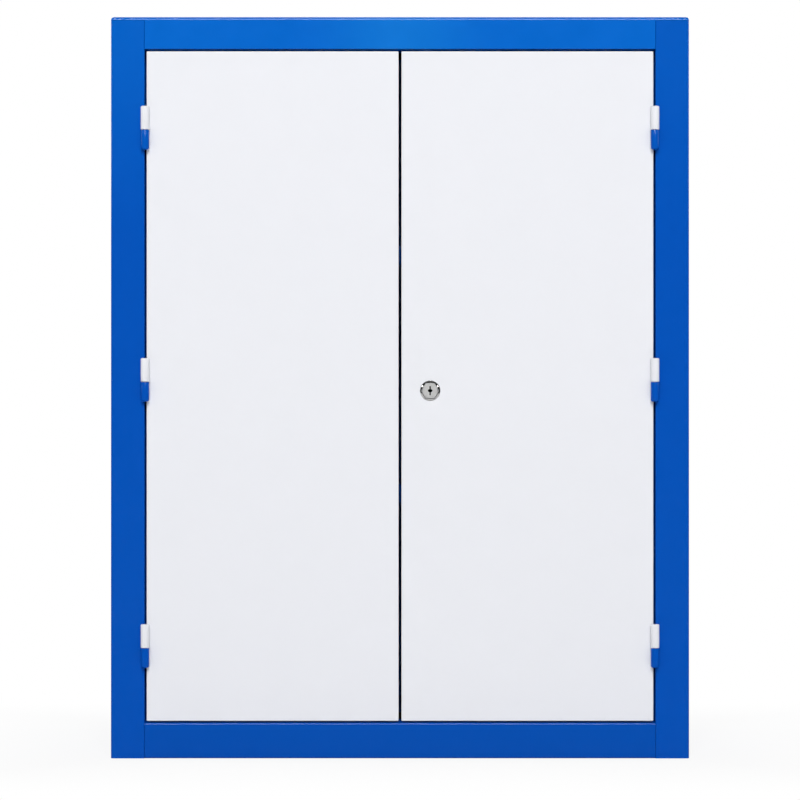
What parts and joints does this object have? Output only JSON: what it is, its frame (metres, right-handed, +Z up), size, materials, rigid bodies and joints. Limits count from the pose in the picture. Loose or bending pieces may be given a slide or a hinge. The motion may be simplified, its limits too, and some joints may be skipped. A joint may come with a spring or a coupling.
{
  "type": "tool cabinet with doors",
  "caption": "Upright sheet-steel tool cabinet: blue folded carcass, two flush grey doors on lift-off hinges, adjustable shelves, and a key lock that drives two rods.",
  "frame": {"origin": "on the floor, at the middle of the width, half way between the fronts of the hinges and the back", "axes": "+X to the right seen from the front, +Y from the doors towards the back, +Z up"},
  "size_m": [0.78, 0.3924, 1],
  "materials": {
    "blue_paint": "satin powder coat",
    "grey_paint": "satin powder coat",
    "zinc_steel": "bright zinc plate",
    "nickel": "satin nickel plate",
    "rubber": "matt"
  },
  "bodies": {
    "carcass": {"left_side_panel": "blue_paint", "right_side_panel": "blue_paint", "top_panel": "blue_paint", "bottom_panel": "blue_paint", "back_panel": "blue_paint", "top_door_stop": "blue_paint", "bottom_door_stop": "blue_paint", "door_buffers": "rubber", "left_front_shelf_rail": "blue_paint", "left_rear_shelf_rail": "blue_paint", "right_front_shelf_rail": "blue_paint", "right_rear_shelf_rail": "blue_paint", "shelf_clips": "zinc_steel", "lower_shelf": "blue_paint", "upper_shelf": "blue_paint", "left_top_frame_knuckle": "blue_paint", "left_middle_frame_knuckle": "blue_paint", "left_bottom_frame_knuckle": "blue_paint", "right_top_frame_knuckle": "blue_paint", "right_middle_frame_knuckle": "blue_paint", "right_bottom_frame_knuckle": "blue_paint", "hinge_pins": "zinc_steel", "hinge_washers": "zinc_steel"},
    "left_door": {"left_door_panel": "grey_paint", "left_door_stiffener": "grey_paint", "left_door_keeper": "grey_paint", "left_top_door_knuckle": "grey_paint", "left_middle_door_knuckle": "grey_paint", "left_bottom_door_knuckle": "grey_paint"},
    "right_door": {"right_door_panel": "grey_paint", "right_door_stiffener": "grey_paint", "rod_guides": "grey_paint", "lock_rosette": "nickel", "lock_housing": "nickel", "lock_nut": "zinc_steel", "right_top_door_knuckle": "grey_paint", "right_middle_door_knuckle": "grey_paint", "right_bottom_door_knuckle": "grey_paint"},
    "lock_cylinder": {"lock_plug": "nickel", "lock_cam": "zinc_steel", "cam_pins": "zinc_steel", "cam_screw": "zinc_steel"},
    "top_rod": {"top_rod": "zinc_steel"},
    "bottom_rod": {"bottom_rod": "zinc_steel"}
  },
  "joints": [
    {"name": "left_door_swing", "type": "hinge", "parent": "carcass", "child": "left_door", "pos_m": [-0.34313, -0.1902, 0.5], "axis": [0, 0, -1], "range_deg": [0, 180]},
    {"name": "right_door_swing", "type": "hinge", "parent": "carcass", "child": "right_door", "pos_m": [0.34313, -0.1902, 0.5], "axis": [0, 0, 1], "range_deg": [0, 180]},
    {"name": "lock_turn", "type": "hinge", "parent": "right_door", "child": "lock_cylinder", "pos_m": [0.0406, -0.1838, 0.4958], "axis": [0, 1, 0], "range_deg": [0, 90]},
    {"name": "top_rod_slide", "type": "slide", "parent": "right_door", "child": "top_rod", "axis": [0, 0, 1], "range_m": [0, 0.01697]},
    {"name": "bottom_rod_slide", "type": "slide", "parent": "right_door", "child": "bottom_rod", "axis": [0, 0, -1], "range_m": [0, 0.01697]}
  ],
  "couplings": [
    {"joint": "lock_turn", "follows": "top_rod_slide", "rad_per_m": 92.56},
    {"joint": "bottom_rod_slide", "follows": "top_rod_slide", "ratio": 1}
  ]
}
